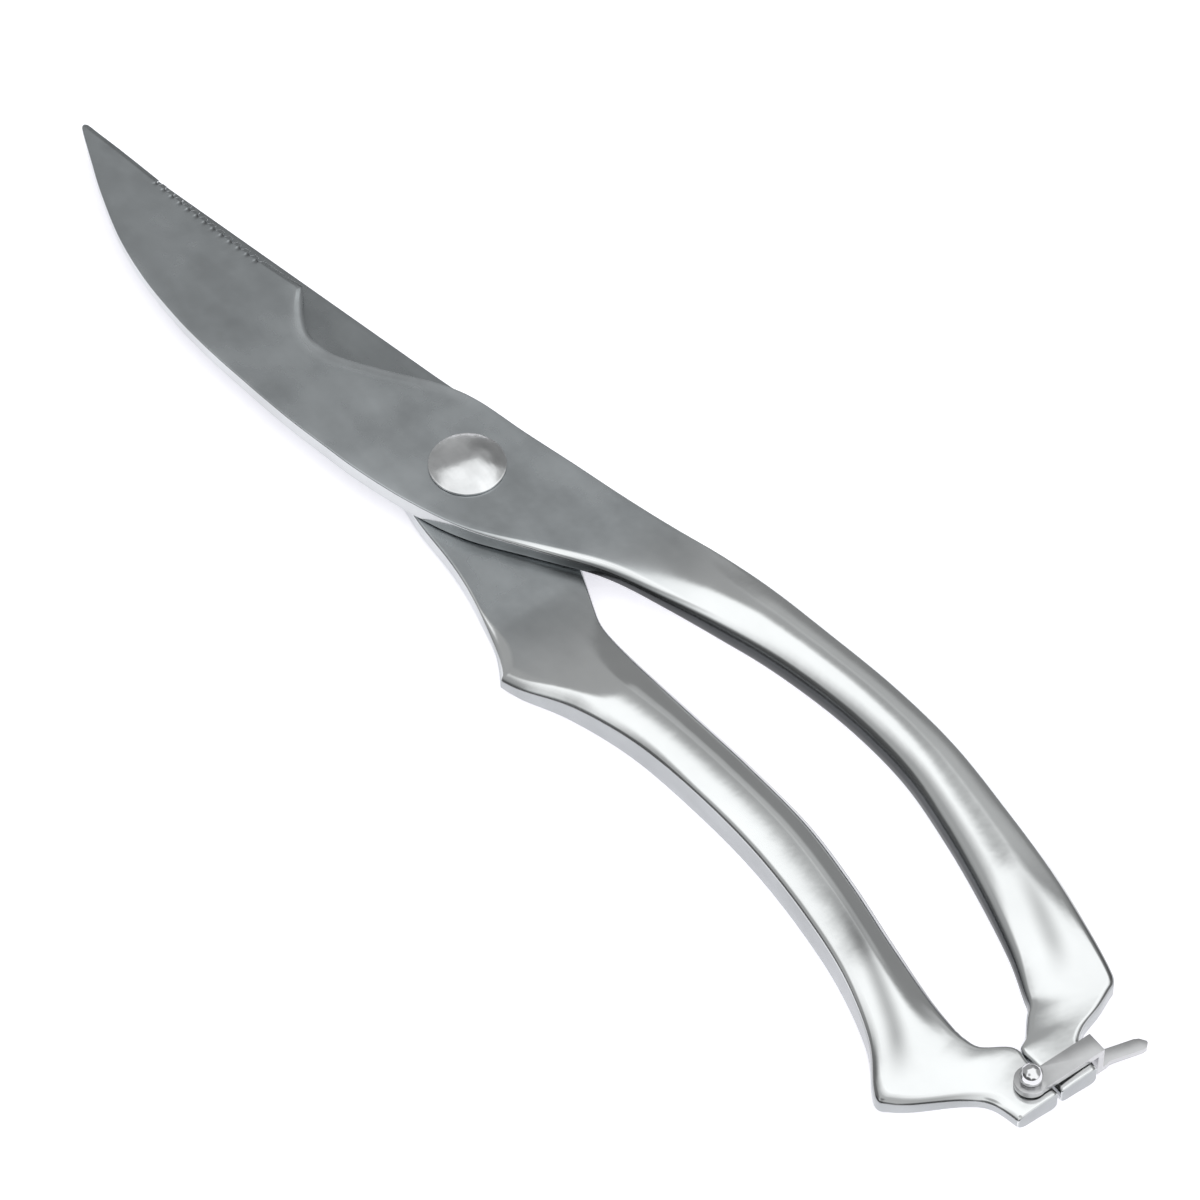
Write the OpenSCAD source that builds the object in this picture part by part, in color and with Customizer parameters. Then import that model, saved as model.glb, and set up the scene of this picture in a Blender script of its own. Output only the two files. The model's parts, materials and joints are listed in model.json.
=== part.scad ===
// Spring-loaded poultry shears: two forged halves on one pivot, held shut by a swinging end latch.
// The pivot axis is Z through the origin, the blades point to +X, and the shears lie on z = 0.

/* [Blades] */
// Pivot axis to the blade tips
blade_len = 98.5; // [90:0.5:110]
// Thickness of each blade plate at the pivot
plate_t = 3.1; // [2.8:0.1:3.4]
// Gap between the two blades
blade_gap = 0.2; // [0.1:0.05:0.3]
// How much each blade has thinned at its tip
tip_thinning = 1.4; // [0.6:0.1:1.8]
// Number of gullets in the serrated edge
gullet_count = 13; // [5:1:13]
// Distance from one gullet to the next
gullet_pitch = 2; // [1.6:0.1:2.1]
// Depth of each gullet
gullet_depth = 0.7; // [0.4:0.1:0.8]

/* [Handles] */
// Width of the grips as a share of the drawn width
grip_width = 1; // [0.85:0.01:1.1]
// Thickness of a grip along its ridge
grip_t = 8; // [7.4:0.1:8.6]
// Thickness of both handle ends
end_t = 3.8; // [3.2:0.1:4.4]
// Gap between the handle ends when shut
stop_gap = 0.6; // [0.4:0.1:1]

/* [Pivot] */
// Diameter of the screw's domed head
head_d = 13; // [12:0.1:14]
// Height of the dome over the blade
head_h = 2; // [1.4:0.1:2.6]
// Diameter of the screw's shoulder, which is the bearing
shoulder_d = 6; // [5:0.1:6.2]
// Diameter of the screw's thread in the nut
thread_d = 4; // [3:0.1:4.4]
// Diameter of the nut
nut_d = 11; // [10:0.1:12]
// Thickness of the nut
nut_t = 2; // [1.6:0.1:2.4]
// Wire thickness of the hidden spring
wire_d = 0.8; // [0.6:0.05:0.95]

/* [Latch] */
// Thickness of the latch strip
latch_t = 1.1; // [0.8:0.1:1.3]
// Width of the latch arm
latch_w = 3.6; // [3:0.1:4]
// Rivet axis to the outer face of the fold
latch_reach = 12.3; // [12:0.1:13]
// Length of the thumb tab past the fold
tab_len = 8; // [5:0.1:9]
// Width of the thumb tab
tab_w = 2.4; // [2:0.1:3]
// Diameter of the latch eye
eye_d = 5.2; // [4.8:0.1:6.4]
// Diameter of the rivet's shank
rivet_d = 2; // [1.6:0.1:2.4]
// Diameter of the rivet's ball head
ball_d = 3.7; // [3:0.1:4.2]

/* [Hidden] */

// Radial clearance of the turning fits, and clearance of the parts that only stand clear
run_fit = 0.06;
free_fit = 0.2;
// Radial clearance of the screw's thread in the nut, which don't turn on each other
thread_fit = 0.01;
// Small depth by which a cut passes a face
cut = 1;

// Spring pocket, shared by both halves. Its floor stands over the nut's seat.
coil_turns = 2.5;
coil_fit = 0.1;
pocket_d = 11.4;
pocket_h = (coil_turns + 1) * wire_d + 4 * coil_fit;
pocket_web = 0.7;
pocket_z = nut_t + free_fit + pocket_web;
coil_r = pocket_d / 2 - wire_d / 2 - free_fit;
leg_len = 1.7;
leg_slot_w = wire_d + 2 * free_fit;

// Heights: the blades meet at mid_z. The shears rest on the nut and on the grips' bellies, and
// mid_z is high enough for the grips and for the spring's lower leg to lie within the lower half.
mid_z = max(grip_t / 2, pocket_z + wire_d + 2 * coil_fit + blade_gap / 2);
lower_z = mid_z - blade_gap / 2 - plate_t;
upper_z = mid_z + blade_gap / 2;
top_z = upper_z + plate_t;
end_top = mid_z + end_t / 2;
end_bottom = mid_z - end_t / 2;

// Rivet axis, near the lower handle's end corner, and the latch's levels above it
rivet_x = -146.1;
rivet_y = 2.5;
stack_gap = 0.05;
washer_t = 0.2;
arm_z = end_top + washer_t + 2 * stack_gap;
arm_top = arm_z + latch_t;
tab_z = 1.5;
tab_turn = 15;
// Share of the arm's width that lies past the rivet axis, towards the handles' end
arm_side = 0.7;

// The blade outlines are drawn at this length, and stretch with blade_len ahead of the pivot
drawn_len = 98.5;
tip_y = 6.8;
function stretch_point(p) = p[0] > 0 ? [p[0] * blade_len / drawn_len, p[1]] : p;
function stretch(points) = [for (p = points) stretch_point(p)];

// A smooth curve through its points. A point given twice is a corner.
function spline_at(p, i, t) =
    let (a = p[max(i - 1, 0)], b = p[i], c = p[i + 1], d = p[min(i + 2, len(p) - 1)])
    b + t * (c - a) / 2
    + t * t * (a - 2.5 * b + 2 * c - d / 2)
    + t * t * t * (-a / 2 + 1.5 * b - 1.5 * c + d / 2);
function spline(p, steps) = [
    for (i = [0 : len(p) - 2]) if (p[i] != p[i + 1]) for (k = [0 : steps - 1]) spline_at(p, i, k / steps),
    p[len(p) - 1]
];
function ease(a, b, x) = let (t = min(max((x - a) / (b - a), 0), 1)) t * t * (3 - 2 * t);
function mix(a, b, t) = a + (b - a) * t;

// Outline of the upper blade and neck: its spine to the tip, then the cutting edge back to the notch
upper_spine = [
    [-24, -1.2], [-18, 3], [-10, 8], [0, 12], [10, 14.8], [25, 17.2], [40, 18.8], [52, 19.3], [63, 18.8],
    [74, 16.9], [84, 13.7], [92, 10.4], [drawn_len, tip_y]
];
upper_edge = [[drawn_len, tip_y], [84, 4.7], [70, 3], [56, 0.8], [47, -1.1]];
bone_notch = [[47, -1.1], [42, 2.4], [37.5, 4.1], [32, 3.4], [24.5, -1.1], [17, -6.2], [10, -9.3]];
upper_neck = [[10, -9.3], [0, -11.6], [-10, -14.2], [-24, -17.2]];

// Outline of the lower blade and neck: the hidden cutting edge, then the neck
lower_edge = [[drawn_len, tip_y], [90, 8.6], [78, 10.4], [60, 10.8], [40, 10], [22, 9], [8, 9.8]];
lower_neck_out = [[8, 9.8], [-2, 11.6], [-12, 12.3], [-20, 13.7], [-30, 16.6]];
lower_neck_in = [[-30, -1.9], [-20, -6], [-10, -9.2], [0, -10.8], [8, -10.8]];

// Ground edges. Each grind follows a line through two points and leans over at its own angle.
thinning_from = 12;
upper_grind = [stretch_point([56, 0.8]), stretch_point([84, 4.7])];
upper_grind_angle = 38;
upper_land = 0.3;
lower_grind = [stretch_point([22, 9.4]), stretch_point([78, 10.9])];
lower_grind_angle = -28;
gullet_r = 0.55;

// Paired points on the outer and inner edges of each grip, from the neck to the handle's end
lower_outer = [
    [-24, 14.7], [-30, 16.8], [-36, 20.1], [-36, 20.1], [-40, 18.9], [-48, 15.2], [-60, 11.7], [-74, 10.1],
    [-88, 9.8], [-102, 11], [-114, 13.2], [-125, 17], [-131.8, 21.5], [-134.2, 22.5], [-135.6, 21.6],
    [-138, 18.7],
    [-142, 12], [-145, 9], [-149.8, 7.8]
];
lower_inner = [
    [-24, -4.3], [-29, -2.2], [-33, -0.5], [-33, -0.5], [-38, 1.1], [-47, 1.3], [-60, 0.3], [-74, -0.7],
    [-88, -1], [-101, 0.4], [-113, 2.5], [-124, 4.3], [-130.5, 4.9], [-132, 4.9], [-133.3, 4.8], [-136, 3.9],
    [-139.2, 0], [-143, 0], [-149.8, 0]
];
upper_outer = [
    [-20, -16.3], [-30, -18.9], [-40, -22], [-50, -24.5], [-62, -26.3], [-76, -27.9], [-90, -28.3],
    [-104, -27], [-118, -25.1], [-130, -22.6], [-136.8, -20.8], [-139.1, -19.7], [-139.9, -18.2],
    [-141.3, -15],
    [-142.8, -10.6], [-145, -8.3], [-149.8, -7.6]
];
upper_inner = [
    [-20, 1.6], [-30, -4.8], [-40, -9.2], [-50, -12.9], [-61, -15.9], [-75, -18.1], [-89, -18.4],
    [-102, -16.4], [-114, -13.6], [-125, -10.4], [-132, -7.6], [-134.4, -6.6], [-136, -5], [-138.6, -2.6],
    [-140, -stop_gap], [-143, -stop_gap], [-149.8, -stop_gap]
];

// Moves the inner point of a pair towards the outer one, for narrower or wider grips.
// The handle ends keep their drawn width, because the stops and the latch meet there.
function widen(outer, inner) = [
    for (i = [0 : len(outer) - 1])
        let (share = 1 - ease(-125, -135, outer[i][0]), keep = ease(-34, -50, outer[i][0]) * share)
        mix(outer[i], inner[i], 1 + (grip_width - 1) * keep)
];

// Heights across a grip: crisp at the outer edge, highest at the ridge, low at the inner edge
ridge_at = 0.48;
outer_share = 0.73;
inner_share = 0.47;
across_steps = 6;
along_steps = 3;
function crown(s) = s < ridge_at
    ? mix(outer_share, 1, sin(90 * s / ridge_at))
    : mix(inner_share, 1, cos(90 * (s - ridge_at) / (1 - ridge_at)));

// Level of a grip's top or bottom at share s of its width, at x along the handle
function level(s, x, neck, side) =
    let (
        body = ease(-27, -52, x),
        tail = ease(-112, -143, x),
        flat_end = mid_z + side * end_t / 2,
        grip = mid_z + side * crown(s) * grip_t / 2
    )
    mix(mix(neck, grip, body), flat_end, tail);

// One closed ring of a grip, across the top from outer to inner and back underneath
function ring(o, i, neck_bottom, neck_top) = concat(
    [for (k = [0 : across_steps]) let (s = k / across_steps, p = mix(o, i, s))
        [p[0], p[1], level(s, p[0], neck_top, 1)]],
    [for (k = [across_steps : -1 : 0]) let (s = k / across_steps, p = mix(o, i, s))
        [p[0], p[1], level(s, p[0], neck_bottom, -1)]]
);

// A handle lofted from ring to ring. turn is 1 where the outer edge lies on +Y and -1 where it is on -Y.
module grip(outer, inner, neck_bottom, neck_top, turn) {
    o = spline(outer, along_steps);
    i = spline(widen(outer, inner), along_steps);
    n = len(o);
    m = 2 * (across_steps + 1);
    points = [for (k = [0 : n - 1]) each ring(o[k], i[k], neck_bottom, neck_top)];
    sides = [for (k = [0 : n - 2], j = [0 : m - 1]) let (a = k * m + j, b = k * m + (j + 1) % m)
        each [[a, b, b + m], [a, b + m, a + m]]];
    last = (n - 1) * m;
    ends = [for (k = [0 : across_steps - 1]) each [
        [m - 1 - k, m - 2 - k, k + 1, k],
        [last + k, last + k + 1, last + m - 2 - k, last + m - 1 - k]
    ]];
    faces = concat(sides, ends);
    polyhedron(points, turn > 0 ? faces : [for (f = faces) [for (k = [len(f) - 1 : -1 : 0]) f[k]]]);
}

// A long block whose lower face starts at the blade's top and falls to the thinned tip
module thinning_block() {
    wide = 80;
    tall = 10;
    translate([thinning_from, 0, 0])
    rotate([0, atan(tip_thinning / (blade_len - thinning_from)), 0])
    translate([0, -wide / 2, 0])
    cube([2 * blade_len, wide, tall]);
}

// A block that grinds one side of a cutting edge. It follows a line and runs on at both of its ends.
module edge_grind(line, angle) {
    d = line[1] - line[0];
    before = 6;
    after = 24;
    wide = 40;
    tall = 12;
    translate([line[0][0], line[0][1], 0])
    rotate([0, 0, atan2(d[1], d[0])])
    rotate([angle, 0, 0])
    translate([-before, -wide / 2, 0])
    cube([before + norm(d) + after, wide, tall]);
}

// The row of gullets cut into the upper blade's edge
module gullets() {
    line = upper_grind[1] - upper_grind[0];
    step = line / norm(line);
    outwards = [step[1], -step[0]] * (gullet_r - gullet_depth);
    for (i = [0 : gullet_count - 1]) {
        at = upper_grind[0] + step * i * gullet_pitch + outwards;
        translate([at[0], at[1], upper_z - cut])
        cylinder(h = 3 * cut, r = gullet_r, $fn = 32);
    }
}

// Bore for the screw's shoulder and the pocket for the spring, cut from both halves
module pivot_cuts() {
    translate([0, 0, -cut])
    cylinder(h = top_z + 2 * cut, d = shoulder_d + 2 * run_fit, $fn = 96);
    translate([0, 0, pocket_z])
    cylinder(h = pocket_h, d = pocket_d, $fn = 96);
}

// Slot that holds one leg of the spring, at an angle round the pivot
module leg_slot(angle, z) {
    rotate([0, 0, angle])
    translate([coil_r, -leg_slot_w / 2, z - leg_slot_w / 2])
    cube([leg_len + free_fit, leg_slot_w, leg_slot_w]);
}

lower_leg_angle = 200;
upper_leg_angle = lower_leg_angle + 360 * (coil_turns - floor(coil_turns));
lower_leg_z = pocket_z + wire_d / 2 + coil_fit;
upper_leg_z = pocket_z + pocket_h - wire_d / 2 - coil_fit;

module lower_half() {
    outline = concat(stretch(spline(lower_edge, 4)), spline(lower_neck_out, 4), spline(lower_neck_in, 4));
    color("silver")
    difference() {
        union() {
            difference() {
                translate([0, 0, lower_z])
                linear_extrude(height = plate_t)
                polygon(outline);
                translate([0, 0, lower_z])
                mirror([0, 0, 1])
                thinning_block();
                translate([0, 0, mid_z - blade_gap / 2])
                mirror([0, 0, 1])
                edge_grind(lower_grind, lower_grind_angle);
            }
            grip(lower_outer, lower_inner, lower_z, mid_z - blade_gap / 2, 1);
        }
        pivot_cuts();
        translate([0, 0, -cut])
        cylinder(h = cut + nut_t + free_fit, d = nut_d + 2 * run_fit, $fn = 96);
        leg_slot(lower_leg_angle, lower_leg_z);
        translate([rivet_x, rivet_y, -cut])
        cylinder(h = top_z + 2 * cut, d = rivet_d + 2 * run_fit, $fn = 48);
    }
}

module upper_half() {
    blade = concat(spline(upper_spine, 4), spline(upper_edge, 4), spline(bone_notch, 4));
    color("gainsboro")
    difference() {
        union() {
            difference() {
                translate([0, 0, upper_z])
                linear_extrude(height = plate_t)
                polygon(concat(stretch(blade), spline(upper_neck, 4)));
                translate([0, 0, top_z])
                thinning_block();
                translate([0, 0, upper_z + upper_land])
                edge_grind(upper_grind, upper_grind_angle);
                gullets();
            }
            grip(upper_outer, upper_inner, upper_z, top_z, -1);
        }
        pivot_cuts();
        leg_slot(upper_leg_angle, upper_leg_z);
    }
}

module pivot_screw() {
    head_r = head_d / 2;
    sphere_r = (head_r * head_r + head_h * head_h) / (2 * head_h);
    thread_z = 0.4;
    seat_z = top_z + stack_gap;
    color("whitesmoke")
    union() {
        intersection() {
            translate([0, 0, seat_z + head_h - sphere_r])
            sphere(r = sphere_r, $fn = 180);
            translate([0, 0, seat_z])
            cylinder(h = head_h + cut, d = head_d + cut, $fn = 96);
        }
        translate([0, 0, nut_t + free_fit])
        cylinder(h = top_z - nut_t, d = shoulder_d, $fn = 96);
        translate([0, 0, thread_z])
        cylinder(h = top_z - thread_z, d = thread_d, $fn = 64);
    }
}

module pivot_nut() {
    color("gray")
    difference() {
        cylinder(h = nut_t, d = nut_d, $fn = 96);
        translate([0, 0, -cut])
        cylinder(h = nut_t + 2 * cut, d = thread_d + 2 * thread_fit, $fn = 64);
    }
}

// A coil of round wire with a short radial leg at each end, swept along its own path
module pivot_spring() {
    ring_steps = 8;
    turn_steps = 20;
    r = wire_d / 2;
    n = ceil(coil_turns * turn_steps);
    coil = [for (k = [0 : n]) let (a = lower_leg_angle + 360 * coil_turns * k / n)
        [coil_r * cos(a), coil_r * sin(a), mix(lower_leg_z, upper_leg_z, k / n)]];
    leg_r = coil_r + leg_len;
    first = [leg_r * cos(lower_leg_angle), leg_r * sin(lower_leg_angle), lower_leg_z];
    last = [leg_r * cos(upper_leg_angle), leg_r * sin(upper_leg_angle), upper_leg_z];
    path = concat([first], coil, [last]);
    count = len(path);
    function along(k) =
        let (d = path[min(k + 1, count - 1)] - path[max(k - 1, 0)])
        d / norm(d);
    points = [for (k = [0 : count - 1]) let (
            t = along(k),
            side = cross(t, [0, 0, 1]) / norm(cross(t, [0, 0, 1])),
            up = cross(side, t)
        ) for (j = [0 : ring_steps - 1])
        path[k] + r * (cos(360 * j / ring_steps) * side + sin(360 * j / ring_steps) * up)];
    sides = [for (k = [0 : count - 2], j = [0 : ring_steps - 1])
        let (a = k * ring_steps + j, b = k * ring_steps + (j + 1) % ring_steps)
        each [[a, b, b + ring_steps], [a, b + ring_steps, a + ring_steps]]];
    ends = [[for (j = [ring_steps - 1 : -1 : 0]) j],
        [for (j = [0 : ring_steps - 1]) (count - 1) * ring_steps + j]];
    color("dimgray")
    polyhedron(points, concat(sides, ends));
}

module latch() {
    side = -latch_w * arm_side;
    fold_y = -latch_reach;
    // Distance from the fold's far face to the middle of the tab's root
    root = 0.3 + tab_w / 2;
    color("lightsteelblue")
    translate([rivet_x, rivet_y, 0])
    difference() {
        union() {
            translate([0, 0, arm_z])
            cylinder(h = latch_t, d = eye_d, $fn = 64);
            translate([side, fold_y, arm_z])
            cube([latch_w, latch_reach, latch_t]);
            translate([side, fold_y, tab_z])
            cube([latch_w, latch_t, arm_top - tab_z]);
            translate([side + root, fold_y + latch_t / 2, tab_z])
            rotate([0, 0, -tab_turn])
            linear_extrude(height = latch_t)
            union() {
                translate([-tab_w / 2, -tab_len])
                square([tab_w, tab_len]);
                translate([0, -tab_len])
                circle(d = tab_w, $fn = 48);
            }
        }
        translate([0, 0, arm_z - cut])
        cylinder(h = latch_t + 2 * cut, d = rivet_d + 2 * run_fit, $fn = 48);
    }
}

module latch_rivet() {
    tail_d = 3.4;
    tail_h = 0.6;
    tail_z = end_bottom - stack_gap - tail_h;
    // Height of the ball's centre over its flat, which sits on the latch eye
    ball_up = ball_d * 0.3;
    color("whitesmoke")
    translate([rivet_x, rivet_y, 0])
    union() {
        translate([0, 0, arm_top + stack_gap + ball_up])
        intersection() {
            sphere(d = ball_d, $fn = 96);
            translate([0, 0, -ball_up])
            cylinder(h = ball_d, d = ball_d + cut, $fn = 64);
        }
        translate([0, 0, tail_z])
        cylinder(h = arm_top + free_fit - tail_z, d = rivet_d, $fn = 48);
        translate([0, 0, tail_z])
        cylinder(h = tail_h, d = tail_d, $fn = 48);
    }
}

module latch_washer() {
    color("gray")
    translate([rivet_x, rivet_y, end_top + stack_gap])
    difference() {
        cylinder(h = washer_t, d = eye_d - 1, $fn = 64);
        translate([0, 0, -cut])
        cylinder(h = washer_t + 2 * cut, d = rivet_d + 2 * run_fit, $fn = 48);
    }
}

lower_half();
upper_half();
pivot_screw();
pivot_nut();
pivot_spring();
latch();
latch_rivet();
latch_washer();
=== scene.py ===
"""Poultry shears: two forged steel halves on a domed pivot screw, shut by a swinging end latch.

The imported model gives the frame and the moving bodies. This script stands finer meshes for the pieces that
show, and gives each its steel. Sizes in the classes are in mm, in the model's frame.
"""

from __future__ import annotations

import json
import logging
import math
from collections.abc import Callable
from dataclasses import dataclass, field
from enum import Enum

import bpy
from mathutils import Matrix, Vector

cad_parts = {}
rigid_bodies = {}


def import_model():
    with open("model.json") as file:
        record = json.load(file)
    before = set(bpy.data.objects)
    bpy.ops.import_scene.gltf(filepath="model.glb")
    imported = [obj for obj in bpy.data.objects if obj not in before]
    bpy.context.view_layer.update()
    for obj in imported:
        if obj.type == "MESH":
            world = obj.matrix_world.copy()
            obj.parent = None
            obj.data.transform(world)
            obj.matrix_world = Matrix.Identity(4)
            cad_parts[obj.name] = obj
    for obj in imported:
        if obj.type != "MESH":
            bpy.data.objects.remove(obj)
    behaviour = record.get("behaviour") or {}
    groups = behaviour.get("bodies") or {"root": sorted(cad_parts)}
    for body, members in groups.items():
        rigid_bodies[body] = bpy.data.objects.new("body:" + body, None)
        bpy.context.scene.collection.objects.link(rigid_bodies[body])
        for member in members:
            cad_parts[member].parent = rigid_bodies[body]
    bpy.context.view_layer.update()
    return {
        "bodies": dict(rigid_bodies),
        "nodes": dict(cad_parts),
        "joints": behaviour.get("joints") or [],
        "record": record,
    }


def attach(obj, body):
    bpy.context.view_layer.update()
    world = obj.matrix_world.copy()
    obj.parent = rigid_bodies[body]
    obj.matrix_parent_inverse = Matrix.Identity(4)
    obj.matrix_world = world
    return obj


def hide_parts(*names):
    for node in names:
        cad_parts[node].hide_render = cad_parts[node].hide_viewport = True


MM = 0.001
ROUND_SIDES = 96
SHARP_ANGLE = 35.0
RIVET_AT = (-146.1, 2.5)
LOG = logging.getLogger("shears")
Point = tuple[float, float]
Triple = tuple[float, float, float]
Piece = bpy.types.Object
Socket = bpy.types.NodeSocket


class Body(Enum):
    """The bodies that move apart."""

    LOWER = "lower"
    UPPER = "upper"
    LATCH = "latch"


class Look(Enum):
    """Polish and tone of each kind of surface on the halves. Every tone but 1 is painted light and shade."""

    # A painted highlight along the notch's ground bevel, then a painted dark line at its edge.
    RIM = (0.1, 1.25)
    RIM_EDGE = (0.0, 0.55)
    # Painted shade in the gullets' run-outs.
    GULLET = (0.0, 0.5)
    # The walls' tones are painted shade, darkest on the grip's inner loop; their lower polish is a duller
    # real finish.
    BLADE_WALL = (0.5, 0.95)
    NOTCH_WALL = (0.2, 0.5)
    SPINE_WALL = (0.55, 0.95)
    NECK_WALL = (0.6, 0.85)
    GRIP_WALL = (0.35, 0.74)
    LOOP_WALL = (0.1, 0.15)
    BRIGHT = (1.0, 1.0)
    # The end face's tone is painted shade; its lower polish is a duller real finish.
    END_FACE = (0.3, 0.7)


# ---- curves


def ease(start: float, end: float, value: float) -> float:
    """A smooth step from 0 at start to 1 at end.

    Args:
        start: Where the step begins.
        end: Where it ends, which may lie below start.
        value: The place asked for.

    Returns:
        A share from 0 to 1.
    """
    t = min(max((value - start) / (end - start), 0.0), 1.0)
    return t * t * (3 - 2 * t)


def mix(a: float, b: float, share: float) -> float:
    """The value that lies share of the way from a to b."""
    return a + (b - a) * share


def blend(a: Point, b: Point, share: float) -> Point:
    """The pair that lies share of the way from a to b."""
    return mix(a[0], b[0], share), mix(a[1], b[1], share)


def spline_point(points: list[Point], index: int, t: float) -> Point:
    """A point on the smooth curve through points, between index and index + 1.

    Args:
        points: The curve's points. One given twice is a corner.
        index: The stretch's first point.
        t: Share of the stretch.

    Returns:
        The point.
    """
    a = points[max(index - 1, 0)]
    b = points[index]
    c = points[index + 1]
    d = points[min(index + 2, len(points) - 1)]
    return tuple(
        b[k]
        + t * (c[k] - a[k]) / 2
        + t * t * (a[k] - 2.5 * b[k] + 2 * c[k] - d[k] / 2)
        + t * t * t * (-a[k] / 2 + 1.5 * b[k] - 1.5 * c[k] + d[k] / 2)
        for k in (0, 1)
    )


class Fade(Enum):
    """Where each change along the shears begins and ends."""

    RING_STYLE = (12, -6)
    GRIP_SHAPE = (-27, -52)
    END_SHAPE = (-112, -143)
    LOWER_BEVEL = (16, 26)
    NOTCH_BEVEL = (12, 22)
    BLADE_BEVEL = (44, 49)
    POLISH = (-22, -48)
    # The next four place painted shade: on the lower blade, at the notch rim's edge, and on the neck and grip
    # walls.
    BLADE_TONE = (-4, 10)
    RIM_EDGE = (34, 38)
    NECK_WALL = (26, -6)
    GRIP_WALL = (-18, -34)
    EDGE_POLISH = (-8, -24)

    def at(self, x: float) -> float:
        """How far the change has gone at x."""
        return ease(*self.value, x)


class Span(Enum):
    """Stretches of the shears that carry painted light and shade: where each fades in, and where it fades
    out.
    """

    RIM = ((8, 16), (46, 50))
    NOTCH_WALL = ((8, 16), (47, 48))
    CORNER = ((-112, -132), (-139, -147))
    LOOP_WALL = ((-16, -30), (-130, -141))

    def at(self, x: float) -> float:
        """How much of the stretch there is at x."""
        return ease(*self.value[0], x) * (1 - ease(*self.value[1], x))


@dataclass(frozen=True)
class Rounding:
    """Width and drop of one side's rounding: at the tip, then each change's start, end and new size."""

    tip: Point
    changes: tuple[tuple[float, float, Point], ...]

    def at(self, x: float) -> Point:
        """Width and drop.

        Args:
            x: Place along the shears.

        Returns:
            The two sizes.
        """
        found = self.tip
        for start, end, size in self.changes:
            found = blend(found, size, ease(start, end, x))
        return found


# ---- finishes


class Nodes:
    """Short calls for wiring a node tree."""

    def __init__(self, tree: bpy.types.NodeTree) -> None:
        """Keeps the tree that the calls add to."""
        self.tree = tree

    def add(self, kind: str, **values: object) -> bpy.types.Node:
        """Adds a node.

        Args:
            kind: The node's type.
            values: Its settings by attribute name.

        Returns:
            The node.
        """
        node = self.tree.nodes.new(kind)
        for key, value in values.items():
            setattr(node, key, value)
        return node

    def wire(self, source: object, target: object) -> None:
        """Links an output, or puts a plain value, into an input.

        Args:
            source: The output or the value.
            target: The input.
        """
        if isinstance(source, Socket):
            self.tree.links.new(source, target)
        else:
            target.default_value = source

    def math(self, operation: str, *values: object, clamp: bool = False) -> Socket:
        """A math node's result.

        Args:
            operation: The node's operation.
            values: Its inputs, as sockets or numbers.
            clamp: Whether the result stays from 0 to 1.

        Returns:
            The output socket.
        """
        node = self.add("ShaderNodeMath", operation=operation, use_clamp=clamp)
        for value, target in zip(values, node.inputs):
            self.wire(value, target)
        return node.outputs[0]

    def colour(self, blend_type: str, factor: object, a: object, b: object) -> Socket:
        """A colour mix's result.

        Args:
            blend_type: How the colours meet.
            factor: The share of b.
            a: The first colour, as a socket or four numbers.
            b: The second.

        Returns:
            The output socket.
        """
        node = self.add("ShaderNodeMix", data_type="RGBA", blend_type=blend_type)
        for value, target in zip((factor, a, b), (node.inputs[0], node.inputs[6], node.inputs[7])):
            self.wire(value, target)
        return node.outputs[2]

    def noise(self, place: object, scale: object, detail: float, roughness: float) -> Socket:
        """A noise texture's value.

        Args:
            place: The coordinates.
            scale: How many features to a metre.
            detail: How many finer layers are added.
            roughness: How strong those layers are.

        Returns:
            The factor output.
        """
        node = self.add("ShaderNodeTexNoise")
        self.wire(place, node.inputs["Vector"])
        self.wire(scale, node.inputs["Scale"])
        node.inputs["Detail"].default_value = detail
        node.inputs["Roughness"].default_value = roughness
        return node.outputs["Fac"]

    def step(self, value: object, start: float, end: float, low: float, high: float) -> Socket:
        """A smooth step.

        Args:
            value: What the step follows.
            start: Where the step begins.
            end: Where it ends.
            low: The level before it.
            high: The level after it.

        Returns:
            The level.
        """
        node = self.add("ShaderNodeMapRange", interpolation_type="SMOOTHSTEP")
        for given, target in zip((value, start, end, low, high), node.inputs):
            self.wire(given, target)
        return node.outputs[0]

    def stretch(self, place: object, scale: Triple, turn: float) -> Socket:
        """Coordinates stretched along the axes.

        Args:
            place: The coordinates.
            scale: The stretch along each axis.
            turn: A turn about Z in degrees.

        Returns:
            The new coordinates.
        """
        node = self.add("ShaderNodeMapping")
        self.wire(place, node.inputs["Vector"])
        node.inputs["Rotation"].default_value = (0, 0, math.radians(turn))
        node.inputs["Scale"].default_value = scale
        return node.outputs[0]


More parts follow.
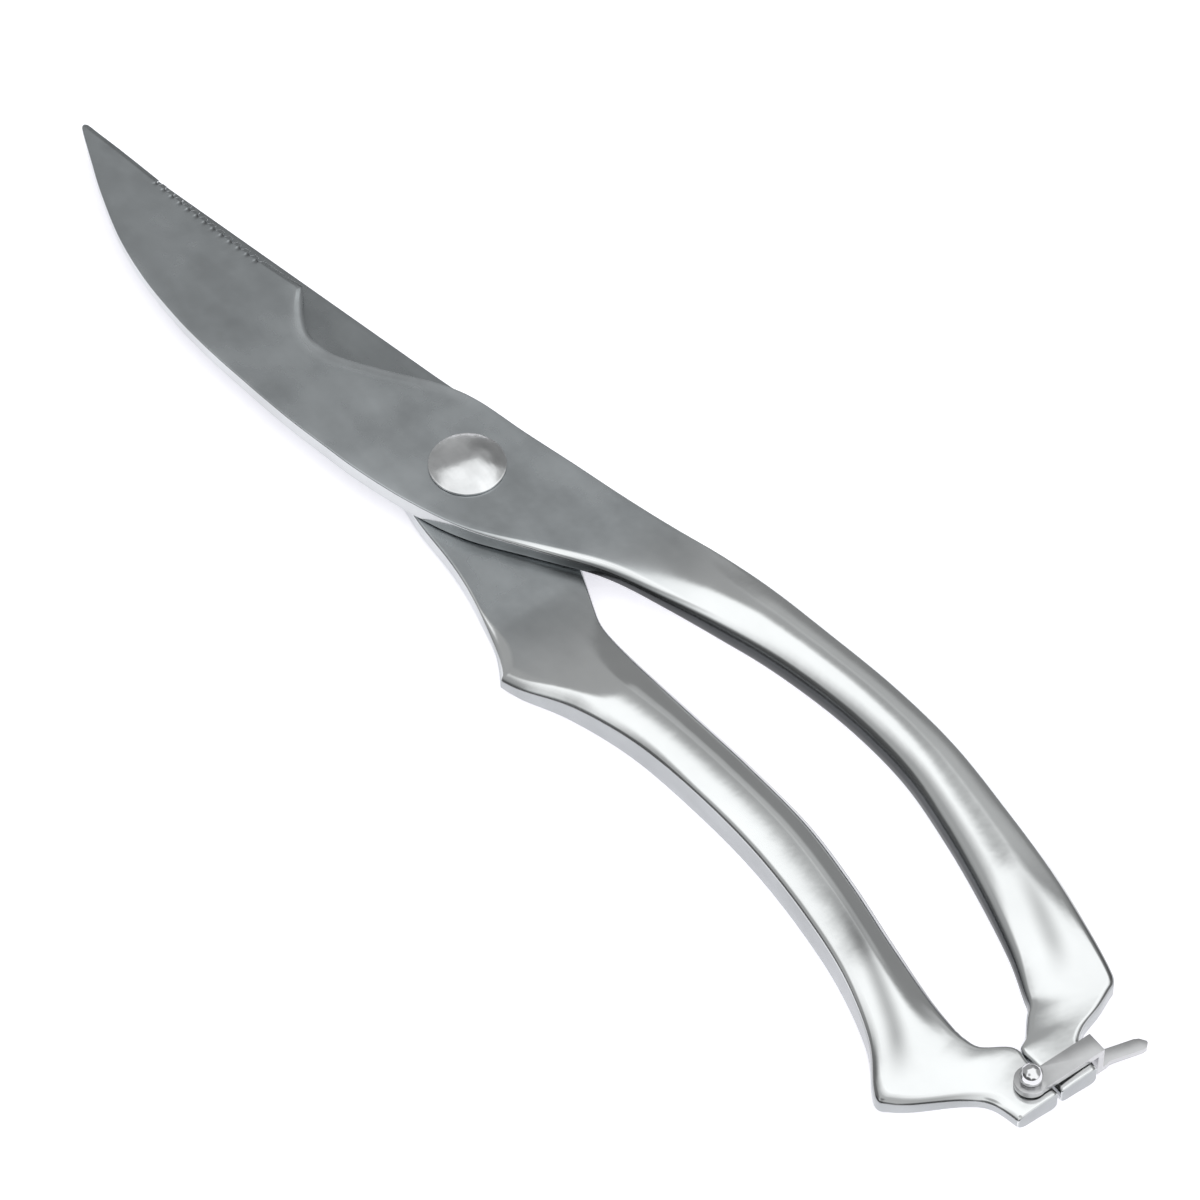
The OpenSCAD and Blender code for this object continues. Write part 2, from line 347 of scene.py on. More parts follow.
def steel_surface_group() -> bpy.types.ShaderNodeTree:
    """Clouding, grinding lines and faint wear, shared by every steel.

    Returns:
        A group that puts out a shade, a change of roughness and a height.
    """
    group = bpy.data.node_groups.new("steel_surface", "ShaderNodeTree")
    group.interface.new_socket("Place", in_out="INPUT", socket_type="NodeSocketVector")
    values = {"INPUT": ("Grind", "Cloud", "Wave", "Cloud Scale"), "OUTPUT": ("Shade", "Dull", "Height")}
    for way, names in values.items():
        for name in names:
            group.interface.new_socket(name, in_out=way, socket_type="NodeSocketFloat")
    n = Nodes(group)
    given = n.add("NodeGroupInput").outputs
    out = n.add("NodeGroupOutput").inputs
    drawn = n.stretch(given["Place"], scale=(0.35, 1.0, 1.0), turn=20.0)
    brushed = n.stretch(given["Place"], scale=(1.0, 0.06, 1.0), turn=11.0)
    clouds = n.noise(given["Place"], scale=given["Cloud Scale"], detail=4.0, roughness=0.55)
    streaks = n.noise(drawn, scale=given["Cloud Scale"], detail=3.0, roughness=0.6)
    lines = n.noise(brushed, scale=700.0, detail=2.0, roughness=0.55)
    specks = n.noise(given["Place"], scale=900.0, detail=1.0, roughness=0.5)
    pits = n.math("MULTIPLY", n.math("SUBTRACT", specks, 0.66, clamp=True), 2.0)
    cloud = n.math("SUBTRACT", n.math("ADD", clouds, streaks), 1.0)
    shade = n.math("MULTIPLY", cloud, given["Cloud"])
    line = n.math("MULTIPLY", n.math("SUBTRACT", lines, 0.5), given["Grind"])
    n.wire(n.math("ADD", shade, n.math("MULTIPLY", line, 0.25)), out["Shade"])
    n.wire(n.math("ADD", n.math("MULTIPLY", cloud, 0.6), line), out["Dull"])
    height = n.math("SUBTRACT", line, n.math("MULTIPLY", pits, given["Grind"]))
    n.wire(n.math("ADD", height, n.math("MULTIPLY", cloud, given["Wave"])), out["Height"])
    return group


@dataclass(frozen=True)
class SteelFinish:
    """One way that a steel piece is finished."""

    name: str
    colour: Triple
    dull: float
    cloud: float
    grind: float
    bright: float = 0.12
    cloud_scale: float = 90.0
    wave: float = 0.0
    bump: float = 0.25
    polished: Triple | None = None

    def make(self, surface: bpy.types.ShaderNodeTree) -> bpy.types.Material:
        """Builds the material.

        Args:
            surface: The shared steel group.

        Returns:
            The material. Where it has a polished colour, the mesh's polish attribute takes it from its dull
            to its bright look, and its tone attribute, painted light and shade, lightens and darkens it.
        """
        material = bpy.data.materials.new(self.name)
        material.use_nodes = True
        n = Nodes(material.node_tree)
        shader = material.node_tree.nodes["Principled BSDF"]
        shader.inputs["Metallic"].default_value = 1.0
        place = n.add("ShaderNodeTexCoord").outputs["Object"]
        steel = n.add("ShaderNodeGroup", node_tree=surface)
        n.wire(place, steel.inputs["Place"])
        for key, value in (("Cloud Scale", self.cloud_scale), ("Cloud", self.cloud), ("Wave", self.wave)):
            steel.inputs[key].default_value = value
        polish = 0.0
        if self.polished:
            polish = n.add("ShaderNodeAttribute", attribute_name="polish").outputs["Fac"]
        satin = n.math("SUBTRACT", 1.0, polish, clamp=True)
        n.wire(n.math("MULTIPLY", satin, self.grind), steel.inputs["Grind"])
        level = n.math("MULTIPLY_ADD", satin, self.dull - self.bright, self.bright)
        change = n.math("MULTIPLY", steel.outputs["Dull"], n.math("MULTIPLY", level, 0.5))
        n.wire(n.math("ADD", level, change, clamp=True), shader.inputs["Roughness"])
        shade = n.math("ADD", 1.0, n.math("MULTIPLY", steel.outputs["Shade"], n.math("ADD", satin, 0.35)))
        steel_colour = n.colour("MIX", polish, (*self.colour, 1.0), (*(self.polished or self.colour), 1.0))
        if self.polished:
            # The tone attribute carries painted light and shade.
            tone = n.add("ShaderNodeAttribute", attribute_name="tone").outputs["Fac"]
            shade = n.math("MULTIPLY", shade, tone)
        n.wire(n.colour("MULTIPLY", 1.0, steel_colour, shade), shader.inputs["Base Color"])
        bump = n.add("ShaderNodeBump")
        bump.inputs["Distance"].default_value = 0.02 * MM
        bump.inputs["Strength"].default_value = self.bump
        n.wire(steel.outputs["Height"], bump.inputs["Height"])
        n.wire(bump.outputs["Normal"], shader.inputs["Normal"])
        return material


class Finish(Enum):
    """Every finish on the shears."""

    FORGED = SteelFinish(
        "forged_steel", (0.43, 0.452, 0.465), dull=0.27, cloud=0.4, grind=0.06, wave=5.0,
        bump=0.5, polished=(0.78, 0.79, 0.79),
    )
    DOME = SteelFinish(
        "polished_dome", (0.78, 0.785, 0.79), dull=0.2, cloud=0.5, grind=0.05,
        cloud_scale=150.0, wave=9.0, bump=0.5,
    )
    BALL = SteelFinish("polished_ball", (0.74, 0.74, 0.75), dull=0.08, cloud=0.05, grind=0.04)
    STAMPED = SteelFinish(
        "stamped_steel", (0.56, 0.56, 0.565), dull=0.33, cloud=0.2, grind=0.6,
        cloud_scale=260.0,
    )
    TURNED = SteelFinish("turned_steel", (0.56, 0.56, 0.57), dull=0.3, cloud=0.2, grind=0.8)
    WIRE = SteelFinish("spring_wire", (0.36, 0.36, 0.38), dull=0.32, cloud=0.2, grind=0.4)


# ---- modelling helpers


def set_mode(mode: str) -> None:
    """Enters a mode, EDIT or OBJECT."""
    bpy.ops.object.mode_set(mode=mode)


def start_clean() -> None:
    """Deselects everything, in object mode."""
    if bpy.context.object and bpy.context.object.mode != "OBJECT":
        set_mode("OBJECT")
    bpy.ops.object.select_all(action="DESELECT")


def only(piece: Piece) -> None:
    """Selects one piece and makes it active."""
    start_clean()
    piece.select_set(True)
    bpy.context.view_layer.objects.active = piece


def settle(piece: Piece) -> None:
    """Puts a piece's place, turn and size into its mesh."""
    only(piece)
    bpy.ops.object.transform_apply(location=True, rotation=True, scale=True)


def pick_faces(piece: Piece, test: Callable[[Vector, Vector], bool]) -> None:
    """Enters edit mode with only the faces selected that a test takes.

    Args:
        piece: The mesh object.
        test: Called with a face's centre in mm and its normal.
    """
    set_mode("OBJECT")
    mesh = piece.data
    for group in (mesh.vertices, mesh.edges, mesh.polygons):
        group.foreach_set("select", [False] * len(group))
    for face in mesh.polygons:
        face.select = bool(test(face.center / MM, face.normal))
    bpy.context.tool_settings.mesh_select_mode = (False, False, True)
    set_mode("EDIT")


def apply_modifier(piece: Piece, kind: str, **values: object) -> None:
    """Adds a modifier, sets it and applies it.

    Args:
        piece: The object.
        kind: The modifier's type.
        values: Its settings.
    """
    only(piece)
    modifier = piece.modifiers.new(kind.lower(), kind)
    for key, value in values.items():
        setattr(modifier, key, value)
    bpy.ops.object.modifier_apply(modifier=modifier.name)


def push(x: float, y: float, z: float) -> None:
    """Extrudes the selected faces along a step in mm."""
    bpy.ops.mesh.extrude_region_move(TRANSFORM_OT_translate={"value": (x * MM, y * MM, z * MM)})


def cylinder(name: str, centre: Point, low: float, high: float, radius: float) -> Piece:
    """A settled upright cylinder.

    Args:
        name: Its name.
        centre: Where its axis stands, in mm.
        low: Its bottom.
        high: Its top.
        radius: Its radius.

    Returns:
        The cylinder.
    """
    start_clean()
    bpy.ops.mesh.primitive_cylinder_add(
        vertices=ROUND_SIDES, radius=radius * MM, depth=(high - low) * MM,
        location=(centre[0] * MM, centre[1] * MM, (low + high) / 2 * MM),
    )
    piece = bpy.context.object
    piece.name = name
    settle(piece)
    return piece


def lathe(name: str, centre: Point, outline: list[Point]) -> Piece:
    """Spins half an outline round an upright axis.

    Args:
        name: The piece's name.
        centre: Where the axis stands, in mm.
        outline: Radius and height of each corner in mm, from the axis and back to it.

    Returns:
        The piece.
    """
    mesh = bpy.data.meshes.new(name)
    points = [((centre[0] + radius) * MM, centre[1] * MM, z * MM) for radius, z in outline]
    mesh.from_pydata(points, [(k, k + 1) for k in range(len(points) - 1)], [])
    piece = bpy.data.objects.new(name, mesh)
    bpy.context.collection.objects.link(piece)
    only(piece)
    set_mode("EDIT")
    bpy.ops.mesh.select_all(action="SELECT")
    middle = (centre[0] * MM, centre[1] * MM, 0.0)
    bpy.ops.mesh.spin(steps=ROUND_SIDES, angle=2 * math.pi, center=middle, axis=(0.0, 0.0, 1.0))
    bpy.ops.mesh.select_all(action="SELECT")
    bpy.ops.mesh.remove_doubles(threshold=0.001 * MM)
    set_mode("OBJECT")
    finish_mesh(piece)
    return piece


def arc(centre: Point, radius: float, start: float, end: float, steps: int) -> list[Point]:
    """Points along an arc, with angles in degrees from the first axis."""
    angles = (math.radians(mix(start, end, k / steps)) for k in range(steps + 1))
    return [(centre[0] + radius * math.cos(a), centre[1] + radius * math.sin(a)) for a in angles]


def cut_with(piece: Piece, tool: Piece, operation: str = "DIFFERENCE") -> None:
    """Cuts or joins a piece with a tool, which is then removed."""
    apply_modifier(piece, "BOOLEAN", operation=operation, solver="EXACT", object=tool)
    bpy.data.objects.remove(tool, do_unlink=True)


def finish_mesh(piece: Piece) -> None:
    """Turns a piece's faces outwards, and shades it smooth but for its sharp edges.

    Args:
        piece: The piece.
    """
    only(piece)
    set_mode("EDIT")
    bpy.ops.mesh.select_all(action="SELECT")
    bpy.ops.mesh.normals_make_consistent(inside=False)
    set_mode("OBJECT")
    bpy.ops.object.shade_smooth_by_angle(angle=math.radians(SHARP_ANGLE))


# ---- the two forged halves


@dataclass
class Levels:
    """Heights that both halves share."""

    mid: float = 4.0
    half_gap: float = 0.1
    plate: float = 3.1
    tip_thinning: float = 1.4
    thinning_from: float = 12.0
    grip: float = 8.0
    end: float = 3.8
    blade_length: float = 98.5

    @property
    def plate_low(self) -> float:
        """The face that meets the other blade."""
        return self.mid + self.half_gap

    @property
    def plate_high(self) -> float:
        """The outer face of the plate."""
        return self.plate_low + self.plate

    def thinning(self, x: float) -> float:
        """How much the blade has thinned at x."""
        return self.tip_thinning * max(0.0, x - self.thinning_from) / (self.blade_length - self.thinning_from)


@dataclass
class Gullets:
    """The bites along a serrated edge, from the one nearest the pivot."""

    first: float = 55.0
    pitch: float = 2.0
    count: int = 13
    depth: float = 0.7
    half_width: float = 0.53
    run_out: float = 1.9
    full_to: float = 0.4
    groove_depth: float = 0.14

    def meets(self, high: float, low: float) -> bool:
        """Whether a stretch of the edge, from high down to low, has gullets in it."""
        return high > self.first - 1 and low < self.first + self.pitch * self.count + 0.5

    def across(self, x: float) -> float:
        """Distance from x to the middle of its gullet, as a share of half the gullet's width."""
        turns = (x - self.first) / self.pitch
        return (turns % 1 - 0.5) * self.pitch / self.half_width if 0 < turns < self.count else math.inf

    def bite(self, x: float) -> float:
        """How deep the edge is cut back at x."""
        return self.depth * math.sqrt(max(0.0, 1 - self.across(x) ** 2))

    def groove(self, x: float, inwards: float) -> float:
        """How deep a gullet's run-out lies at x, at a distance inwards from the edge."""
        deep = self.groove_depth * max(0.0, 1 - self.across(x) ** 2)
        return deep * ease(self.run_out, self.full_to, inwards)


@dataclass
class ForgedHalf:
    """One blade, neck and grip, lofted from the tip to the handle's end.

    edge and back are paired points. edge runs down the cutting edge and the grip's outer side, and back runs
    down the spine and the grip's inner side. A half that isn't ground is turned over.
    """

    node: str
    body: Body
    edge: list[Point]
    back: list[Point]
    edge_rounding: Rounding
    back_rounding: Rounding
    ground: bool
    levels: Levels = field(default_factory=Levels)
    gullets: Gullets | None = None
    # Painted shade on the blade, for where it lies under the other blade.
    painted_blade_shade: float = 1.0
    spacing: float = 0.8
    fine_spacing: float = 0.125
    ridge_at: float = 0.5
    outer_share: float = 0.73
    inner_share: float = 0.47
    arc_steps: int = 7
    inner_points: int = 18
    end_dome: float = 0.5
    end_crest: float = 0.9
    # Painted light and shade: the handle end's grey streak is a painted reflection, the end's dark edge line
    # painted shade, the notch rim a painted highlight with a painted dark edge, and the reaches say how far
    # the walls' painted shade comes onto the faces.
    streak_from: float = -96.0
    streak_starts: float = 0.55
    streak_ends: float = 0.35
    streak_wide: float = 0.2
    painted_streak_tone: float = 0.5
    streak_fade: float = 16.0
    streak_stops: Point = (-127, -135)
    corner_wide: float = 1.9
    painted_corner_shade: float = 0.4
    rim: Point = (3.2, 0.7)
    rim_edge: Point = (0.6, 0.35)
    wall_reach: float = 0.3
    loop_reach: float = 0.75
    least_wall: float = 0.05
    lower_bevel: Point = (3.2, 2.2)
    lower_land: float = 0.4
    most_rounding: float = 0.46
    notch_bevel: Point = (1.8, 0.2)
    blade_bevel: Point = (0.9, 0.3)
    bevel_shares: tuple[float, ...] = (0.25, 0.5, 0.75, 0.96, 1.04, 1.3, 1.7)
    end_radius: float = 0.3

    def stations(self) -> list[tuple[Point, Point, float]]:
        """Samples the paired curves.

        Returns:
            Each station's edge point, back point and the bite taken out of the edge there.
        """
        found = []
        for i in range(len(self.edge) - 1):
            start, end = self.edge[i], self.edge[i + 1]
            if start == end:
                continue
            length = max(math.dist(start, end), math.dist(self.back[i], self.back[i + 1]))
            serrated = self.gullets and self.gullets.meets(start[0], end[0])
            steps = math.ceil(length / (self.fine_spacing if serrated else self.spacing))
            for k in range(steps):
                found.append(self.station(i, k / steps))
        found.append(self.station(len(self.edge) - 2, 1.0))
        return found

    def station(self, index: int, t: float) -> tuple[Point, Point, float]:
        """One station, with the edge moved in by a gullet's bite.

        Args:
            index: The first point of its stretch.
            t: Share of the stretch.

        Returns:
            The edge point, the back point and the bite.
        """
        e = spline_point(self.edge, index, t)
        b = spline_point(self.back, index, t)
        bite = self.gullets.bite(e[0]) if self.gullets else 0.0
        share = bite / math.dist(e, b)
        return (mix(e[0], b[0], share), mix(e[1], b[1], share)), b, bite

    def crown(self, s: float) -> float:
        """A grip's rounded height.

        Args:
            s: Share of its width, from its outer side.

        Returns:
            The height, as a share of half its thickness.
        """
        if s < self.ridge_at:
            return mix(self.outer_share, 1.0, math.sin(math.pi / 2 * s / self.ridge_at))
        return mix(self.inner_share, 1.0, math.cos(math.pi / 2 * (s - self.ridge_at) / (1 - self.ridge_at)))

    def bevel(self, x: float) -> Point:
        """The ground bevel along the edge.

        Args:
            x: Place along the shears.

        Returns:
            Its width and depth.
        """
        if not self.ground:
            width, depth = self.lower_bevel
            most = self.levels.plate - self.levels.thinning(x) - self.lower_land
            return width, min(depth * Fade.LOWER_BEVEL.at(x), most)
        blade = Fade.BLADE_BEVEL.at(x)
        notch = Fade.NOTCH_BEVEL.at(x) * (1 - blade)
        width = mix(self.notch_bevel[0], self.blade_bevel[0], blade)
        return width, self.notch_bevel[1] * notch + self.blade_bevel[1] * blade

    def soft_edges(self, x: float) -> tuple[Point, Point]:
        """Width and drop of the rounding at x, along the edge and then along the back."""
        return self.edge_rounding.at(x), self.back_rounding.at(x)

    def across(self, x: float, width: float) -> list[float]:
        """Where a ring has its points.

        Args:
            x: Place along the shears.
            width: Width of the half there.

        Returns:
            The points' distances from the edge side.
        """
        outer, inner = (min(soft[0], width / 4) for soft in self.soft_edges(x))
        bevel_width = min(self.bevel(x)[0], width * 0.5)
        arcs = [1 - math.cos(math.pi / 2 * k / self.arc_steps) for k in range(self.arc_steps + 1)]
        rest = self.inner_points - len(self.bevel_shares)
        last = self.bevel_shares[-1] * bevel_width
        blade = [max(bevel_width * share, outer * 1.01) for share in self.bevel_shares]
        blade += [mix(last, width - inner, (k + 1) / (rest + 1)) for k in range(rest)]
        count = self.inner_points + 1
        grip = [mix(outer, width - inner, (k + 1) / count) for k in range(self.inner_points)]
        style = Fade.RING_STYLE.at(x)
        middle = [mix(b, g, style) for b, g in zip(blade, grip)]
        return [outer * a for a in arcs] + middle + [width - inner * a for a in reversed(arcs)]

    def heights(self, x: float, d: float, width: float, bite: float) -> Point:
        """Bottom and top of the half at one place.

        Args:
            x: Place along the shears.
            d: Distance from the edge side.
            width: Width of the half there.
            bite: How much of the edge a gullet has taken.

        Returns:
            The two heights, for a half that faces up.
        """
        lv = self.levels
        bevel_width, depth = self.bevel(x)
        ground = depth * min(max(1 - (d + bite) / bevel_width, 0.0), 1.0)
        if self.gullets:
            ground += self.gullets.groove(x, d + bite)
        plate = lv.plate_high - lv.thinning(x) - ground
        s = d / width
        body = Fade.GRIP_SHAPE.at(x)
        tail = Fade.END_SHAPE.at(x)
        grip = self.crown(s) * lv.grip / 2
        end = lv.end / 2 - self.end_dome * (s - self.end_crest) ** 2
        top = mix(mix(plate, lv.mid + grip, body), lv.mid + end, tail)
        bottom = mix(mix(lv.plate_low, lv.mid - grip, body), lv.mid - end, tail)
        rounding = 0.0
        for (wide, drop), gap in zip(self.soft_edges(x), (d, width - d)):
            wide = min(wide, width / 4)
            drop = min(drop, self.most_rounding * (top - bottom))
            if gap < wide:
                rounding += drop * (1 - math.sqrt(max(0.0, 1 - (1 - gap / wide) ** 2)))
        return bottom + rounding, top - rounding

    def ring(self, e: Point, b: Point, bite: float) -> list[tuple[float, ...]]:
        """A closed ring round the half at one station.

        Args:
            e: The point on the edge side.
            b: The point on the back side.
            bite: How much of the edge a gullet has taken.

        Returns:
            Points across the top and back underneath, each with its polish and tone.
        """
        width = math.dist(e, b)
        top, under = [], []
        for d in self.across((e[0] + b[0]) / 2, width):
            s = d / width
            x, y = mix(e[0], b[0], s), mix(e[1], b[1], s)
            low, high = self.heights(x, d, width, bite)
            look = self.look(x, d, width)
            top.append((x, y, high, *look))
            under.append((x, y, low, *look))
        return top + under[::-1]

    def look(self, x: float, d: float, width: float) -> Point:
        """How polished the steel is, and how light its painted light and shade make it.

        Args:
            x: Place along the shears.
            d: Distance from the edge side.
            width: Width of the half there.

        Returns:
            Polish and tone, both as shares.
        """
        # The lower blade is darkened with painted shade, for where it lies under the upper blade.
        face = (Fade.POLISH.at(x), mix(1.0, self.painted_blade_shade, Fade.BLADE_TONE.at(x)))
        grip = Fade.GRIP_WALL.at(x)
        # The walls' tones are painted shade; their lower polish is a duller real finish.
        outer = blend(Look.BLADE_WALL.value, Look.GRIP_WALL.value, grip)
        if self.ground:
            # A painted highlight along the notch's bevel, with a painted dark line at its edge.
            rim = Span.RIM.at(x)
            face = blend(face, Look.RIM.value, rim * ease(*self.rim, d))
            face = blend(face, Look.RIM_EDGE.value, rim * Fade.RIM_EDGE.at(x) * ease(*self.rim_edge, d))
            # Painted shade on the wall by the notch.
            outer = blend(outer, Look.NOTCH_WALL.value, Span.NOTCH_WALL.at(x))
        # A painted reflection: the grey streak down the handle's end.
        face = blend(face, (face[0], self.painted_streak_tone), self.streak(x, d / width))
        # Painted shade: a dark line along the edges near the handle's end.
        corner = Span.CORNER.at(x) * ease(self.corner_wide, 0.5 * self.corner_wide, d)
        face = blend(face, (face[0], self.painted_corner_shade), corner)
        # Painted shade on the spine, neck and grip walls, darkest on the grip's inner loop.
        neck = blend(Look.SPINE_WALL.value, Look.NECK_WALL.value, Fade.NECK_WALL.at(x))
        loop = blend(neck, Look.LOOP_WALL.value, Span.LOOP_WALL.at(x))
        edge, back = self.soft_edges(x)
        walls = (
            (outer, edge[0], d, self.wall_reach),
            (loop, back[0], width - d, mix(self.wall_reach, self.loop_reach, grip)),
        )
        for wall, wide, gap, reach in walls:
            face = blend(face, (1.0, face[1]), ease(wide, 0.7 * wide, gap) * Fade.EDGE_POLISH.at(x))
            face = blend(face, wall, 1 - ease(0.0, max(reach * wide, self.least_wall), gap))
        # Painted shade in the gullets' run-outs, darkening the ticks along the edge.
        if self.gullets:
            bitten = self.gullets.groove(x, d + self.gullets.bite(x)) / self.gullets.groove_depth
            face = blend(face, Look.GULLET.value, min(1.0, 1.5 * bitten))
        return face

    def streak(self, x: float, s: float) -> float:
        """The grey streak down the handle's end, a painted reflection.

        Args:
            x: Place along the shears.
            s: Share of the width, from the edge side.

        Returns:
            How strong it is.
        """
        starts, stops = self.streak_from, self.streak_stops
        along = ease(starts, starts - self.streak_fade, x) * (1 - ease(*stops, x))
        middle = mix(self.streak_starts, self.streak_ends, ease(starts, stops[1] + 1, x))
        return along * ease(self.streak_wide, 0.0, abs(s - middle))

    def build(self) -> Piece:
        """Lofts the half and closes its ends.

        Returns:
            The piece, without its bores.
        """
        rings = [self.ring(*station) for station in self.stations()]
        rings += self.end_rings(rings.pop())
        points, polish, tone = [], [], []
        for ring in rings:
            for x, y, z, shine, light in ring:
                points.append((x * MM, y * MM, (z if self.ground else 2 * self.levels.mid - z) * MM))
                polish.append(shine)
                tone.append(light)
        m = len(rings[0])
        faces = [
            (k * m + j, k * m + (j + 1) % m, (k + 1) * m + (j + 1) % m, (k + 1) * m + j)
            for k in range(len(rings) - 1)
            for j in range(m)
        ]
        faces += [tuple(range(m - 1, -1, -1)), tuple(range((len(rings) - 1) * m, len(rings) * m))]
        mesh = bpy.data.meshes.new(self.node)
        mesh.from_pydata(points, [], faces)
        for name, values in (("polish", polish), ("tone", tone)):
            mesh.attributes.new(name, "FLOAT", "POINT").data.foreach_set("value", values)
        piece = bpy.data.objects.new(f"{self.node}_forging", mesh)
        bpy.context.collection.objects.link(piece)
        return piece

    def end_rings(self, last: list[tuple]) -> list[list[tuple]]:
        """Rounds the handle's end face over its last few tenths.

        Args:
            last: The last ring.

        Returns:
            The rings that take its place.
        """
        radius = self.end_radius
        count = len(last)
        middle = [sum(p[k] for p in last) / count for k in (0, 1, 2)]
        rings = []
        for k in range(self.arc_steps + 1):
            angle = math.pi / 2 * k / self.arc_steps
            # The end face's tone is painted shade; its lower polish is a duller real finish.
            wall = blend(Look.BRIGHT.value, Look.END_FACE.value, k / self.arc_steps)
            out, inset = radius * (1 - math.sin(angle)), radius * (1 - math.cos(angle))
            ring = []
            for x, y, z, *look in last:
                reach = max(math.hypot(y - middle[1], z - middle[2]), 1e-6)
                keep = 1 - inset / reach
                point = (x + out, mix(middle[1], y, keep), mix(middle[2], z, keep))
                ring.append((*point, *(wall if k else look)))
            rings.append(ring)
        return rings


@dataclass
class PivotBores:
    """What both halves have cut in them for the screw, the nut and the spring."""

    shoulder: float = 3.06
    pocket: float = 5.7
    pocket_low: float = 2.9
    pocket_high: float = 6.1
    nut_seat: float = 5.56
    nut_top: float = 2.2
    rivet: float = 1.06
    slot_from: float = 5.0
    slot_reach: float = 7.1
    slot_wide: float = 1.1
    slot_tall: float = 1.0
    slot_low: float = 3.4
    lower_leg: float = 200.0
    sweep: float = 6.9
    sweep_low: float = 3.5
    through: Point = (-1.0, 10.0)

    def cut(self, piece: Piece, lower: bool) -> None:
        """Cuts the bores.

        Args:
            piece: The half.
            lower: Whether it is the lower half, which seats the nut and the rivet.
        """
        axis = (0.0, 0.0)
        tools = [
            ("shoulder_bore", axis, *self.through, self.shoulder),
            ("spring_pocket", axis, self.pocket_low, self.pocket_high, self.pocket),
        ]
        if lower:
            tools.append(("nut_seat", axis, self.through[0], self.nut_top, self.nut_seat))
            tools.append(("rivet_bore", RIVET_AT, *self.through, self.rivet))
        else:
            tools.append(("leg_sweep", axis, self.sweep_low, self.pocket_high, self.sweep))
        for tool in tools:
            cut_with(piece, cylinder(*tool))
        if lower:
            cut_with(piece, self.leg_slot())

    def leg_slot(self) -> Piece:
        """The cutter for the groove that the spring's lower leg lies in.

        Returns:
            The cutter.
        """
        start_clean()
        angle = math.radians(self.lower_leg)
        middle = (self.slot_reach + self.slot_from) / 2 * MM
        bpy.ops.mesh.primitive_cube_add(size=MM)
        tool = bpy.context.object
        tool.name = "leg_slot"
        tool.scale = (self.slot_reach - self.slot_from, self.slot_wide, self.slot_tall)
        tool.rotation_euler = (0.0, 0.0, angle)
        tool.location = (middle * math.cos(angle), middle * math.sin(angle), self.slot_low * MM)
        settle(tool)
        return tool


UPPER_EDGE: list[Point] = [
    (98.5, 7.0), (98.2, 6.75), (97.4, 6.55), (95.5, 6.3), (90, 5.5), (82, 4.5), (74, 3.5),
    (65, 2.3), (55, 0.65), (47, -1.1), (47, -1.1),
    (42, 2.4), (37.5, 4.1), (32, 3.4), (24.5, -1.1), (17, -6.2), (10, -9.3), (0, -11.6), (-10, -14.0),
    (-20, -16.3), (-30, -18.9), (-40, -22), (-50, -24.5), (-62, -26.3), (-76, -27.9), (-90, -28.3),
    (-104, -27), (-118, -25.1), (-130, -22.6), (-136.8, -20.8),
    (-139.1, -19.7), (-139.9, -18.2), (-141.3, -15),
    (-142.8, -10.6), (-145, -8.3), (-149.8, -7.6),
]
UPPER_BACK: list[Point] = [
    (98.5, 7.3), (98.3, 7.65), (97.8, 8.05), (96, 8.85), (91, 10.9), (84, 13.7),
    (74, 16.9), (64, 18.7), (54, 19.3), (47, 19.2), (47, 19.2),
    (42, 18.9), (37.5, 18.5), (32, 18), (25, 17.2), (18, 16.1), (10, 14.7), (0, 12), (-10, 8),
    (-20, 1.6), (-30, -4.8), (-40, -9.2), (-50, -12.9), (-61, -15.9), (-75, -18.1), (-89, -18.4),
    (-102, -16.4), (-114, -13.6), (-125, -10.4), (-132, -7.6), (-134.4, -6.6), (-136, -5), (-138.6, -2.6),
    (-140, -0.6), (-143, -0.6), (-149.8, -0.6),
]
LOWER_EDGE: list[Point] = [
    (98.3, 7.2), (98.1, 7.35), (97.4, 7.55), (95, 7.9), (90, 8.6), (78, 10.4),
    (60, 10.8), (40, 10), (22, 9), (9, 9.7), (-2, 11.6), (-12, 12.4),
    (-20, 13.8), (-30, 16.8), (-36, 20.1), (-36, 20.1), (-40, 18.9), (-48, 15.2), (-60, 11.7), (-74, 10.1),
    (-88, 9.8), (-102, 11), (-114, 13.2), (-125, 17),
    (-131.8, 21.5), (-134.2, 22.5), (-135.6, 21.6), (-138, 18.7),
    (-142, 12), (-145, 9), (-149.8, 7.8),
]
LOWER_BACK: list[Point] = [
    (98.3, 7.0), (98.1, 6.85), (97.4, 6.65), (95, 6.1), (90, 5.1), (78, 2.8),
    (60, -0.7), (40, -4.6), (22, -8.1), (9, -10.6), (-1, -10.8),
    (-10, -9.2), (-20, -6), (-29, -2.2), (-33, -0.5), (-33, -0.5), (-38, 1.1), (-47, 1.3), (-60, 0.3),
    (-74, -0.7), (-88, -1), (-101, 0.4), (-113, 2.5), (-124, 4.3),
    (-130.5, 4.9), (-132, 4.9), (-133.3, 4.8), (-136, 3.9),
    (-139.2, 0), (-143, 0), (-149.8, 0),
]


UPPER_EDGE_ROUNDING = Rounding(
    (0.04, 0.04), ((12, -2, (0.35, 0.3)), (-30, -60, (1.3, 1.0)), (-125, -142, (1.0, 0.8)))
)
UPPER_BACK_ROUNDING = Rounding((0.25, 0.25), (
    (30, 4, (0.3, 0.3)), (-6, -30, (2.2, 1.0)), (-24, -50, (1.7, 1.45)), (-125, -142, (0.8, 0.6))
))
LOWER_EDGE_ROUNDING = Rounding((0.04, 0.04), (
    (12, -2, (0.5, 0.35)), (-22, -34, (3.2, 1.5)), (-45, -75, (0.9, 0.75)),
    (-125, -142, (1.8, 1.2)),
))
LOWER_BACK_ROUNDING = Rounding(
    (0.2, 0.2), ((0, -20, (0.4, 0.4)), (-30, -60, (1.5, 1.2)), (-125, -142, (0.8, 0.7)))
)


# ---- pivot hardware


